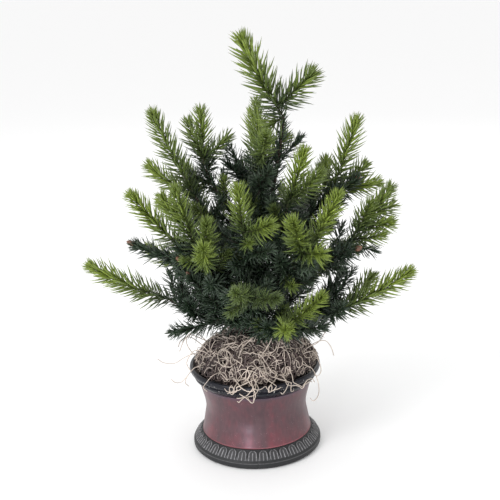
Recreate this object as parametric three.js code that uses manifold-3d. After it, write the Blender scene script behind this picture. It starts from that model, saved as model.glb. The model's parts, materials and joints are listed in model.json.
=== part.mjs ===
// An artificial tabletop fir in a moulded urn: weighted pot, moss, a trunk and bendable wire branches.
// Millimetres, +Z up. The origin is the middle of the pot's underside, and the tree's front looks along -Y.
import * as THREE from "three";
import { mergeVertices } from "three/addons/utils/BufferGeometryUtils.js";
import Module from "manifold-3d";

const wasm = await Module();
wasm.setup();

// ---- driving dimensions ------------------------------------------------------------------------

const GAP = 0.3; // clearance between pieces that touch

// Urn: radius and height of each step of its outline
const FOOT_RADIUS = 80;
const FOOT_EDGE = 8; // height of the foot's upright edge
const FOOT_TOP_RADIUS = 68;
const FOOT_TOP = 21;
const WAIST_RADIUS = 62.5;
const WAIST_HEIGHT = 56;
const BODY_TOP_RADIUS = 70;
const BODY_TOP = 88;
const RIM_RADIUS = 81;
const RIM_TOP = 108;
const MOUTH_RADIUS = 60; // where the sloping rim ends inside
const WALL = 4;
const FLOOR = 6; // thickness of the foot's floor

// Filling
const BALLAST_RADIUS = 58;
const BALLAST_TOP = 30;
const FOAM_RADIUS = 56;
const FOAM_TOP = 90;
const MOSS_RADIUS = 67;
const MOSS_TOP = 138;

// Trunk: upright in the foam, then leaning a little to the right
const TRUNK_RADIUS = 5;
const TRUNK_BOTTOM = 14;
const TRUNK_TOP = 345;
const TRUNK_LEAN = 16;

// Branches
const WIRE_RADIUS = 2.2; // wire with its wrapping
const WIRE_SIDES = 6;
const HINGE_REACH = 8; // from the trunk's middle to where a branch bends
const STEM_SAG = 0.12; // how far a stem hangs below a straight line, as a share of its length
const TIP_RADIUS = 7; // packed middle of a needle tip; loose needles stand further out
const TIP_SIDES = 7;
const TIP_SAG = 0.07;
const BUD_RADIUS = 3.6;
const BUD_LENGTH = 10;

// Where each branch grows. root is its height on the trunk. Each place is [bearing, reach, height]:
// bearing in degrees from the right (0) through the back (90), reach from the pot's axis, height above
// the table. end is where the stem stops. A spray leaves the stem at the share `from` of its length,
// and its first shoot carries the others. Dark sprays are flat-cut foil, the rest are moulded tips.
const BRANCHES = [
  {
    name: "leader", root: 296, end: [0, 43, 410], sag: 0.3,
    sprays: [{ name: "tip", from: 1, to: [180, 6, 508], shoots: [{ from: 0.05, to: [353, 82, 465] }] }],
  },
  {
    name: "upper_left", root: 225, end: [180, 64, 322],
    sprays: [
      { name: "tip_a", from: 1, to: [180, 111, 428], shoots: [] },
      { name: "tip_b", from: 0.9, to: [166, 128, 357], shoots: [] },
    ],
  },
  {
    name: "upper_back_left", root: 265, end: [155, 58, 350],
    sprays: [
      {
        name: "tip", from: 1, to: [151, 62, 424],
        shoots: [{ from: 0.15, to: [148, 85, 408] }, { from: 0.1, to: [111, 53, 386] }],
      },
    ],
  },
  {
    name: "upper_back", root: 255, end: [80, 60, 330],
    sprays: [{ name: "tip", from: 1, to: [85, 92, 412], shoots: [{ from: 0.15, to: [55, 95, 380] }] }],
  },
  {
    name: "upper_right", root: 245, end: [8, 100, 318],
    sprays: [
      { name: "tip_a", from: 1, to: [4, 131, 409], shoots: [] },
      { name: "tip_b", from: 0.95, to: [12, 150, 350], shoots: [{ from: 0.4, to: [8, 164, 326] }] },
      { name: "tip_c", from: 0.85, to: [28, 108, 354], shoots: [] },
    ],
  },
  {
    name: "centre_right", root: 240, end: [330, 50, 308],
    sprays: [{ name: "tip", from: 1, to: [336, 73, 383], shoots: [{ from: 0.05, to: [330, 99, 358] }] }],
  },
  {
    name: "front", root: 222, end: [264, 68, 285],
    sprays: [{ name: "tip", from: 1, to: [261, 81, 354], shoots: [{ from: 0.05, to: [284, 114, 314] }] }],
  },
  {
    name: "mid_left", root: 185, end: [192, 76, 256],
    sprays: [
      { name: "tip", from: 1, to: [192, 143, 337], shoots: [] },
      { name: "twig", from: 0.75, to: [188, 138, 268], shoots: [], dark: true, bud: true },
    ],
  },
  {
    name: "front_left", root: 180, end: [222, 80, 266],
    sprays: [
      { name: "tip_a", from: 1, to: [222, 112, 353], shoots: [{ from: 0.35, to: [209, 116, 342] }] },
      { name: "tip_b", from: 0.85, to: [247, 131, 294], shoots: [{ from: 0.3, to: [243, 104, 318] }] },
    ],
  },
  {
    name: "front_right", root: 197, end: [317, 85, 262],
    sprays: [
      { name: "tip_a", from: 1, to: [318, 134, 343], shoots: [] },
      { name: "tip_b", from: 0.9, to: [308, 133, 276], shoots: [{ from: 0.2, to: [292, 119, 319] }] },
    ],
  },
  {
    name: "mid_right", root: 192, end: [356, 118, 262],
    sprays: [
      { name: "tip_a", from: 1, to: [357, 171, 332], shoots: [{ from: 0.3, to: [350, 146, 318] }] },
      { name: "tip_b", from: 0.9, to: [354, 164, 272], shoots: [] },
      { name: "twig", from: 0.75, to: [346, 126, 256], shoots: [], dark: true, bud: true },
    ],
  },
  {
    name: "mid_back_left", root: 205, end: [128, 85, 262],
    sprays: [{ name: "tip", from: 1, to: [126, 140, 340], shoots: [{ from: 0.1, to: [148, 140, 300] }] }],
  },
  {
    name: "mid_back_right", root: 210, end: [48, 85, 266],
    sprays: [{ name: "tip", from: 1, to: [45, 138, 338], shoots: [{ from: 0.1, to: [72, 132, 300] }] }],
  },
  {
    name: "low_front", root: 170, end: [268, 78, 222],
    sprays: [
      {
        name: "tip", from: 1, to: [263, 160, 254],
        shoots: [{ from: 0.1, to: [281, 158, 244] }, { from: 0.05, to: [256, 124, 212] }],
      },
    ],
  },
  {
    name: "low_left", root: 150, end: [184, 98, 193],
    sprays: [{ name: "tip", from: 1, to: [183, 199, 246], shoots: [] }],
  },
  {
    name: "low_front_left", root: 160, end: [222, 45, 178],
    sprays: [{ name: "twig", from: 1, to: [203, 104, 165], shoots: [], dark: true }],
  },
  {
    name: "low_right", root: 153, end: [351, 98, 173],
    sprays: [
      { name: "tip", from: 1, to: [354, 196, 228], shoots: [{ from: 0.2, to: [10, 155, 210] }] },
      { name: "twig", from: 0.6, to: [14, 118, 212], shoots: [], dark: true },
    ],
  },
  {
    name: "low_front_right", root: 148, end: [297, 62, 170],
    sprays: [
      { name: "tip", from: 1, to: [306, 137, 232], shoots: [{ from: 0.2, to: [286, 125, 194] }] },
      { name: "twig", from: 0.8, to: [315, 114, 182], shoots: [], dark: true },
    ],
  },
  {
    name: "low_back_left", root: 155, end: [128, 95, 188],
    sprays: [{ name: "tip", from: 1, to: [124, 182, 230], shoots: [{ from: 0.1, to: [148, 162, 238] }] }],
  },
  {
    name: "low_back_right", root: 158, end: [56, 95, 185],
    sprays: [{ name: "tip", from: 1, to: [62, 182, 226], shoots: [{ from: 0.1, to: [34, 165, 236] }] }],
  },
];

// The trunk's own top carries one spray.
const CROWN = { to: [73, 42, 430], shoots: [{ from: 0.2, to: [297, 50, 403] }] };

// ---- materials ---------------------------------------------------------------------------------

function finish(color, roughness, metalness = 0) {
  return new THREE.MeshStandardMaterial({ color, roughness, metalness });
}

const FINISHES = {
  rim: finish(0x14151a, 0.25, 0.1),
  body: finish(0x73505a, 0.38, 0.45),
  foot: finish(0x3b3d3c, 0.55, 0.15),
  plaster: finish(0xcfcac0, 0.9),
  foam: finish(0x4f6b4a, 0.95),
  wood: finish(0x4a3526, 0.8),
  moss: finish(0x8b7568, 0.95),
  wire: finish(0x2e2a22, 0.7),
  light: finish(0x5f8c33, 0.55),
  dark: finish(0x24402f, 0.5),
  bud: finish(0x8a5230, 0.65),
};

// ---- geometry helpers --------------------------------------------------------------------------

const UP = new THREE.Vector3(0, 0, 1);

// A closed mesh as a manifold solid, and back.
function solid(geometry) {
  const bare = geometry.clone();
  bare.deleteAttribute("normal");
  bare.deleteAttribute("uv");
  const merged = mergeVertices(bare, 1e-4);
  return new wasm.Manifold(
    new wasm.Mesh({
      numProp: 3,
      vertProperties: new Float32Array(merged.attributes.position.array),
      triVerts: new Uint32Array(merged.index.array),
    }),
  );
}

function geometryOf(body) {
  const mesh = body.getMesh();
  const made = new THREE.BufferGeometry();
  made.setAttribute("position", new THREE.BufferAttribute(new Float32Array(mesh.vertProperties), 3));
  made.setIndex(new THREE.BufferAttribute(new Uint32Array(mesh.triVerts), 1));
  made.computeVertexNormals();
  return made;
}

// The biggest body that a cut leaves.
function largest(body) {
  return body.decompose().sort((a, b) => b.volume() - a.volume())[0];
}

// A turned shape about the Z axis, from [radius, height] points listed anticlockwise.
function turned(outline, sides) {
  const points = outline.map(([radius, height]) => new THREE.Vector2(radius, height));
  return new THREE.LatheGeometry(points, sides).rotateX(Math.PI / 2);
}

// The points of a smooth curve through [radius, height] places.
function smooth(places, steps) {
  const curve = new THREE.CatmullRomCurve3(places.map(([r, z]) => new THREE.Vector3(r, z, 0)));
  return curve.getPoints(steps).map((p) => [p.x, p.y]);
}

// A round rod along a curve.
function rod(curve, radius, sides, steps) {
  const section = new THREE.Shape();
  for (let i = 0; i < sides; i++) {
    const angle = (i * 2 * Math.PI) / sides;
    const [x, y] = [radius * Math.cos(angle), radius * Math.sin(angle)];
    if (i) section.lineTo(x, y);
    else section.moveTo(x, y);
  }
  section.closePath();
  return new THREE.ExtrudeGeometry(section, { steps, extrudePath: curve, bevelEnabled: false });
}

// A place given by bearing, reach and height.
function place([bearing, reach, height]) {
  const angle = THREE.MathUtils.degToRad(bearing);
  return new THREE.Vector3(reach * Math.cos(angle), reach * Math.sin(angle), height);
}

// A curve that sags below the straight line between its ends.
function sagging(start, end, sag) {
  const middle = start.clone().add(end).multiplyScalar(0.5);
  middle.z -= sag * start.distanceTo(end);
  return new THREE.QuadraticBezierCurve3(start, middle, end);
}

// A spindle turned about Z, then laid along a curve: blunt at its root, full, and pointed at its end.
function spindle(curve, radius) {
  const outline = [
    [0, 0],
    [0.3, 0],
    [1, 0.32],
    [0.95, 0.7],
    [0.55, 0.93],
    [0, 1],
  ].map(([r, z]) => [r * radius, z]);
  const geometry = turned(outline, TIP_SIDES);
  const position = geometry.attributes.position;
  const [start, end] = [curve.getPoint(0), curve.getPoint(1)];
  const side = end.clone().sub(start).cross(UP).normalize();
  for (let i = 0; i < position.count; i++) {
    const share = THREE.MathUtils.clamp(position.getZ(i), 0, 1);
    const over = curve.getTangent(share).cross(side).normalize();
    const point = curve
      .getPoint(share)
      .addScaledVector(side, position.getX(i))
      .addScaledVector(over, position.getY(i));
    position.setXYZ(i, point.x, point.y, point.z);
  }
  return geometry;
}

// ---- pieces ------------------------------------------------------------------------------------

const tree = new THREE.Group();
tree.name = "tabletop_tree";

// Adds a mesh to a group. Its geometry is given in the tree's frame, and the group may stand elsewhere.
function add(name, geometry, material, group = tree) {
  const mesh = new THREE.Mesh(geometry.translate(...group.position.clone().negate()), material);
  mesh.name = name;
  group.add(mesh);
}

// Shallow dish with a flat underside. The sloping band between its edge and the body carries the leaves.
function foot() {
  const band = FOOT_EDGE + 2;
  return turned(
    [
      [0, 0],
      [FOOT_RADIUS - 3, 0],
      [FOOT_RADIUS, 3],
      [FOOT_RADIUS, FOOT_EDGE],
      [FOOT_RADIUS - 2, band],
      [FOOT_TOP_RADIUS, FOOT_TOP],
      [FOOT_TOP_RADIUS - WALL, FOOT_TOP],
      [FOOT_TOP_RADIUS - 1, FLOOR + WALL],
      [FOOT_TOP_RADIUS - WALL, FLOOR],
      [0, FLOOR],
    ],
    40,
  );
}

// Waisted wall, open at both ends.
function body() {
  const [low, high] = [FOOT_TOP + GAP, BODY_TOP];
  const outer = smooth(
    [
      [FOOT_TOP_RADIUS, low],
      [(FOOT_TOP_RADIUS + WAIST_RADIUS) / 2 - 0.7, (low + WAIST_HEIGHT) / 2],
      [WAIST_RADIUS, WAIST_HEIGHT],
      [BODY_TOP_RADIUS, high],
    ],
    8,
  );
  const inner = [...outer].reverse().map(([radius, height]) => [radius - WALL, height]);
  return turned([...outer, ...inner, outer[0]], 40);
}

// Ring with a fillet, a groove and a rolled lip. Its inside slopes down to the mouth.
function rim() {
  const low = BODY_TOP + GAP;
  return turned(
    [
      [MOUTH_RADIUS, low],
      [BODY_TOP_RADIUS + 1, low],
      [BODY_TOP_RADIUS + 4, low + 3],
      [BODY_TOP_RADIUS + 6, low + 8],
      [BODY_TOP_RADIUS + 5, low + 10],
      [RIM_RADIUS - 1, RIM_TOP - 8],
      [RIM_RADIUS, RIM_TOP - 4],
      [RIM_RADIUS - 1, RIM_TOP - 1],
      [RIM_RADIUS - 3.5, RIM_TOP],
      [MOUTH_RADIUS, low + 6],
      [MOUTH_RADIUS, low],
    ],
    40,
  );
}

// Cast block that weights the pot, with a blind hole for the trunk.
function ballast() {
  const hole = TRUNK_RADIUS + 2 * GAP;
  return turned(
    [
      [0, FLOOR + GAP],
      [BALLAST_RADIUS, FLOOR + GAP],
      [BALLAST_RADIUS, BALLAST_TOP],
      [hole, BALLAST_TOP],
      [hole, TRUNK_BOTTOM - GAP],
      [0, TRUNK_BOTTOM - GAP],
    ],
    24,
  );
}

// Foam plug that grips the trunk.
function foam() {
  const hole = TRUNK_RADIUS + 2 * GAP;
  const low = BALLAST_TOP + GAP;
  return turned(
    [
      [hole, low],
      [FOAM_RADIUS, low],
      [FOAM_RADIUS, FOAM_TOP],
      [hole, FOAM_TOP],
      [hole, low],
    ],
    24,
  );
}

// Heap of moss over the foam, spilling onto the rim's slope.
function moss() {
  const hole = TRUNK_RADIUS + 4 * GAP;
  const low = FOAM_TOP + GAP;
  return turned(
    [
      [hole, low],
      [MOUTH_RADIUS - 5, low],
      [MOUTH_RADIUS - 2, low + 5],
      [MOSS_RADIUS, low + 16],
      [MOSS_RADIUS - 3, low + 24],
      [MOSS_RADIUS - 17, low + 36],
      [MOSS_RADIUS - 40, MOSS_TOP - 4],
      [hole, MOSS_TOP],
      [hole, low],
    ],
    20,
  );
}

const TRUNK_CURVE = new THREE.CatmullRomCurve3([
  new THREE.Vector3(0, 0, TRUNK_BOTTOM),
  new THREE.Vector3(0, 0, FOAM_TOP / 2),
  new THREE.Vector3(0, 0, FOAM_TOP + 10),
  new THREE.Vector3(TRUNK_LEAN * 0.3, 0, (FOAM_TOP + TRUNK_TOP) / 2),
  new THREE.Vector3(TRUNK_LEAN, 0, TRUNK_TOP),
]);

// The middle of the trunk at a height.
function trunkAt(height) {
  let [low, high] = [0, 1];
  while (high - low > 1e-6) {
    const middle = (low + high) / 2;
    if (TRUNK_CURVE.getPoint(middle).z < height) low = middle;
    else high = middle;
  }
  return TRUNK_CURVE.getPoint(low);
}

// The point where a branch bends: just outside the trunk, towards the branch's end.
function hingeOf(branch) {
  const root = trunkAt(branch.root);
  const out = place(branch.end).sub(root).setZ(0).normalize();
  return root.addScaledVector(out, HINGE_REACH);
}

// A spray's shoots as one solid. `extra` makes it thicker, to cut room for it out of a neighbour.
function spraySolid(start, spray, extra) {
  const main = sagging(start, place(spray.to), TIP_SAG);
  let made = solid(spindle(main, TIP_RADIUS + extra));
  for (const shoot of spray.shoots) {
    const curve = sagging(main.getPoint(shoot.from), place(shoot.to), TIP_SAG);
    made = made.add(solid(spindle(curve, TIP_RADIUS + extra)));
  }
  return made;
}

// A brown bud past the end of a spray.
function bud(start, spray) {
  const end = place(spray.to);
  const along = sagging(start, end, TIP_SAG).getTangent(1);
  const outline = [
    [0, GAP],
    [BUD_RADIUS * 0.6, GAP + 0.1 * BUD_LENGTH],
    [BUD_RADIUS, GAP + 0.4 * BUD_LENGTH],
    [BUD_RADIUS * 0.7, GAP + 0.8 * BUD_LENGTH],
    [0, GAP + BUD_LENGTH],
  ];
  return turned(outline, TIP_SIDES)
    .applyQuaternion(new THREE.Quaternion().setFromUnitVectors(UP, along))
    .translate(end.x, end.y, end.z);
}

add("pot_foot", foot(), FINISHES.foot);
add("pot_body", body(), FINISHES.body);
add("pot_rim", rim(), FINISHES.rim);
add("ballast", ballast(), FINISHES.plaster);
add("foam_plug", foam(), FINISHES.foam);
add("moss_mound", moss(), FINISHES.moss);
add("trunk", rod(TRUNK_CURVE, TRUNK_RADIUS, 12, 14), FINISHES.wood);

const trunkTop = trunkAt(TRUNK_TOP).addScaledVector(UP, 5 * GAP);
add("crown_tip", geometryOf(spraySolid(trunkTop, CROWN, 0)), FINISHES.light);

// Each branch is a group that stands where it bends.
for (const branch of BRANCHES) {
  const group = new THREE.Group();
  group.name = branch.name;
  group.position.copy(hingeOf(branch));
  tree.add(group);
  const stem = sagging(hingeOf(branch), place(branch.end), branch.sag ?? STEM_SAG);
  add(branch.name + "_stem", rod(stem, WIRE_RADIUS, WIRE_SIDES, 6), FINISHES.wire, group);
  // what the branch holds already, a little thicker: later sprays are cut back from it
  let taken = solid(rod(stem, WIRE_RADIUS + GAP, WIRE_SIDES, 6));
  for (const spray of branch.sprays) {
    const start = stem.getPoint(spray.from).addScaledVector(stem.getTangent(spray.from), GAP);
    const name = branch.name + "_" + spray.name;
    const shape = largest(spraySolid(start, spray, 0).subtract(taken));
    add(name, geometryOf(shape), spray.dark ? FINISHES.dark : FINISHES.light, group);
    taken = taken.add(spraySolid(start, spray, GAP));
    if (spray.bud) add(branch.name + "_bud", bud(start, spray), FINISHES.bud, group);
  }
}

export default tree;
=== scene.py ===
"""Looks of an artificial tabletop fir: a waisted urn, curly moss, and wire branches with needle tips.

Laid out as an add-on and run as a script. Metres throughout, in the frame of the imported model: +Z up,
origin in the middle of the pot's underside, the tree's front towards -Y.
"""

import json
import math

import bpy
import numpy as np
from bpy.props import FloatProperty, FloatVectorProperty, IntProperty, PointerProperty
from mathutils import Euler, Matrix, Vector


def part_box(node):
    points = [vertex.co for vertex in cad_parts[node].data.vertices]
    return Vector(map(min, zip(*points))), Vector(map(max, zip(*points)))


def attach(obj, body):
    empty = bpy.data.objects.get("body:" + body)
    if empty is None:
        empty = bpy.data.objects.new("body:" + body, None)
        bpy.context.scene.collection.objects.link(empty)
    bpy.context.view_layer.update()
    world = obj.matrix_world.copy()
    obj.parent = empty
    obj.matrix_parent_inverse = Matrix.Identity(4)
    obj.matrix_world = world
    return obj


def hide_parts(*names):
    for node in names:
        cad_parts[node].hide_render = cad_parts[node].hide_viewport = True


bl_info = {
    "name": "Tabletop Fir",
    "version": (1, 0, 0),
    "blender": (4, 5, 0),
    "location": "View3D > Sidebar > Fir",
    "description": "Builds the visible surfaces of an artificial tabletop fir around its packed frame",
    "category": "Add Mesh",
}

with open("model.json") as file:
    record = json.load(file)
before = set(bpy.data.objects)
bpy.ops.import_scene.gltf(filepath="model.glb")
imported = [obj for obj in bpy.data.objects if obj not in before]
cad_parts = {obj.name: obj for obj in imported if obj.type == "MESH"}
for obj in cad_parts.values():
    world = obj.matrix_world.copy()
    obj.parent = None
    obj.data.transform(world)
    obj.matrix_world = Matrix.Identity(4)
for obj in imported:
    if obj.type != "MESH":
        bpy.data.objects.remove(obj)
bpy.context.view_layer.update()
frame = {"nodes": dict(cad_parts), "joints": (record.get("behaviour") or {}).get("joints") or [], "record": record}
MM = 0.001
TAU = 2 * math.pi
GOLDEN_ANGLE = math.pi * (3 - math.sqrt(5))
JOINTS = {joint["child"]: joint for joint in frame["joints"]}
BODIES = frame["record"]["behaviour"]["bodies"]
TRUNK_BODY = "pot"
STEM_SIDES = 6  # corners of a stem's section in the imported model
TRUNK_SIDES = 12
SIDES_PER_LEAF = 22
TIP_NEEDLES_SEED, FOIL_LINES_SEED, FOIL_NEEDLES_SEED, MOSS_SEED = 100, 300, 500, 11
SPRAY_SIDES = 7
SPRAY_NECK = 3.85 * MM  # radius of a spray's last section before its point
MOSS_CLEAR = 160 * MM  # lowest point of a shoot that the moss doesn't hold up
LOW_BRANCH = 215 * MM  # below this height no side shoot points down
TRUNK_NEEDLES = 185 * MM  # height at which the trunk's own needles start
TUFT = 8 * MM  # how far needles stand past the end of their spine
FORK = 0.15  # share of a spray's first shoot at which the others leave it
SAG = 0.07  # how far a shoot hangs below a straight line, as a share of its length


# ---- sizes and colours a user would change -----------------------------------------------------


def colour(name, description, default):
    return FloatVectorProperty(
        name=name, description=description, subtype="COLOR", size=3, min=0, max=1, default=default
    )


def length(name, description, default):
    return FloatProperty(
        name=name, description=description, default=default, min=0, unit="LENGTH", subtype="DISTANCE"
    )


def angle(name, description, degrees):
    return FloatProperty(
        name=name, description=description, default=math.radians(degrees), subtype="ANGLE"
    )


class FirPotSettings(bpy.types.PropertyGroup):
    """Sizes and paints of the urn"""

    leaves: IntProperty(name="Leaves", description="Raised leaves round the foot", default=36, min=8)
    leaf_depth: length("Leaf depth", "Height of the raised leaves above their ground", 1.6 * MM)
    burgundy: colour("Burgundy", "Metallic paint of the body", (0.112, 0.054, 0.063))
    burgundy_edge: colour("Burgundy edge", "Redder paint near the body's ends", (0.200, 0.045, 0.058))
    black: colour("Rim black", "Gloss paint of the rim", (0.006, 0.006, 0.009))
    charcoal: colour("Foot charcoal", "Paint of the foot", (0.013, 0.013, 0.0135))
    worn: colour("Worn grey", "Rubbed paint on the raised leaves", (0.36, 0.352, 0.36))


class FirMossSettings(bpy.types.PropertyGroup):
    """Amount and colours of the moss"""

    strands: IntProperty(name="Strands", description="Loose strands over the mound", default=820, min=0)
    thickness: length("Thickness", "Diameter of a strand", 1.08 * MM)
    pale: colour("Pale strand", "Straw-coloured strands on top", (0.74, 0.63, 0.53))
    dusky: colour("Dusky strand", "Mauve-brown strands below", (0.135, 0.098, 0.090))
    # painted shade: the near-black core colour stands in for the shade between the strands
    shade: colour("Shade", "Matted moss underneath", (0.014, 0.009, 0.008))


class FirNeedleSettings(bpy.types.PropertyGroup):
    """Sizes and greens of the moulded needles"""

    length: length("Needle length", "Length of a moulded needle", 22.5 * MM)
    width: length("Needle width", "Width of a moulded needle", 2.4 * MM)
    spacing: length("Needle spacing", "Distance along a shoot from one needle to the next", 0.6 * MM)
    root_angle: angle("Root angle", "Lean of the needles at a shoot's root, from its axis", 66)
    tip_angle: angle("Tip angle", "Lean of the needles at a shoot's end", 40)
    side_shoots: IntProperty(
        name="Side shoots", description="Small shoots on each branch's wire", default=3, min=0
    )
    fresh: colour("Fresh green", "Needles at the ends of the shoots", (0.205, 0.272, 0.040))
    mid: colour("Mid green", "Needles half way along", (0.102, 0.145, 0.034))
    deep: colour("Deep green", "Needles at the roots of the shoots", (0.024, 0.040, 0.019))


class FirFoilSettings(bpy.types.PropertyGroup):
    """Sizes and greens of the foil needles"""

    length: length("Foil length", "Length of a foil needle", 18.5 * MM)
    width: length("Foil width", "Width of a foil needle", 2.3 * MM)
    spacing: length("Foil spacing", "Distance along a stem from one foil needle to the next", 0.62 * MM)
    twigs: IntProperty(name="Twigs", description="Foil twigs on each branch", default=8, min=0)
    green: colour("Foil green", "Dark blue-green foil", (0.009, 0.021, 0.011))
    # painted highlight: the lighter foil colour stands in for light caught on the foil
    sheen: colour("Foil highlight", "Lighter face of the foil", (0.050, 0.080, 0.042))


class FirStageSettings(bpy.types.PropertyGroup):
    """Camera and floor"""

    distance: length("Camera distance", "From the pot's axis, level", 1.150)
    height: length("Camera height", "Above the table", 0.594)
    tilt: angle("Camera tilt", "Below the horizon", 16.6)
    roll: angle("Camera roll", "Turn about the line of sight", -2.0)
    lens: FloatProperty(name="Lens", description="Focal length on a 36 mm sensor", default=72, min=1)
    floor: colour("Floor", "Pale floor", (0.94, 0.94, 0.94))


# ---- node trees --------------------------------------------------------------------------------


class Nodes:
    """A node tree with short calls for adding nodes, joining them and doing sums."""

    def __init__(self, tree):
        self.tree = tree

    def add(self, kind, values=None, **settings):
        node = self.tree.nodes.new(kind)
        for name, value in settings.items():
            setattr(node, name, value)
        for socket, value in (values or {}).items():
            self.put(node.inputs[socket], value)
        return node

    def put(self, socket, value):
        if isinstance(value, bpy.types.NodeSocket):
            self.tree.links.new(value, socket)
        else:
            socket.default_value = value

    def maths(self, operation, a, b=0.0, c=0.0):
        node = self.add("ShaderNodeMath", dict(enumerate((a, b, c))), operation=operation)
        return node.outputs[0]

    def plus(self, a, b):
        return self.maths("ADD", a, b)

    def times(self, a, b):
        return self.maths("MULTIPLY", a, b)


def value_socket(sockets, name):
    """The plain number among the sockets that a node has of each type under the same name."""
    return next(s for s in sockets if s.name == name and s.type == "VALUE")


def new_group(name, inputs):
    """A Geometry Nodes group whose inputs are (name, socket type, default) after its geometry."""
    group = bpy.data.node_groups.new(name, "GeometryNodeTree")
    face = group.interface
    face.new_socket("Geometry", in_out="INPUT", socket_type="NodeSocketGeometry")
    face.new_socket("Geometry", in_out="OUTPUT", socket_type="NodeSocketGeometry")
    for title, kind, default in inputs:
        socket = face.new_socket(title, in_out="INPUT", socket_type=kind)
        if default is not None:
            socket.default_value = default
    nodes = Nodes(group)
    source = nodes.add("NodeGroupInput").outputs
    sink = nodes.add("NodeGroupOutput").inputs[0]
    return group, nodes, source, sink


def grown(name, path, group, values):
    """The plain mesh that a Geometry Nodes group makes from a guide object, which is then removed."""
    modifier = path.modifiers.new(group.name, "NODES")
    modifier.node_group = group
    sockets = {s.name: s.identifier for s in group.interface.items_tree if s.in_out == "INPUT"}
    for title, value in values.items():
        modifier[sockets[title]] = value
    bpy.context.view_layer.update()
    graph = bpy.context.evaluated_depsgraph_get()
    mesh = bpy.data.meshes.new_from_object(path.evaluated_get(graph))
    mesh.name = name
    made = bpy.data.objects.new(name, mesh)
    bpy.context.scene.collection.objects.link(made)
    path_mesh = path.data
    bpy.data.objects.remove(path)
    bpy.data.meshes.remove(path_mesh)
    return made


def coated(nodes, geometry, material):
    """The geometry smooth, realised and in its material, which is how every group ends."""
    smooth = nodes.add("GeometryNodeSetShadeSmooth", {"Geometry": geometry}).outputs[0]
    whole = nodes.add("GeometryNodeRealizeInstances", {0: smooth}).outputs[0]
    return nodes.add("GeometryNodeSetMaterial", {"Geometry": whole, "Material": material}).outputs[0]


FLOAT = "NodeSocketFloat"
COUNT = "NodeSocketInt"
MATERIAL = "NodeSocketMaterial"


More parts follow.
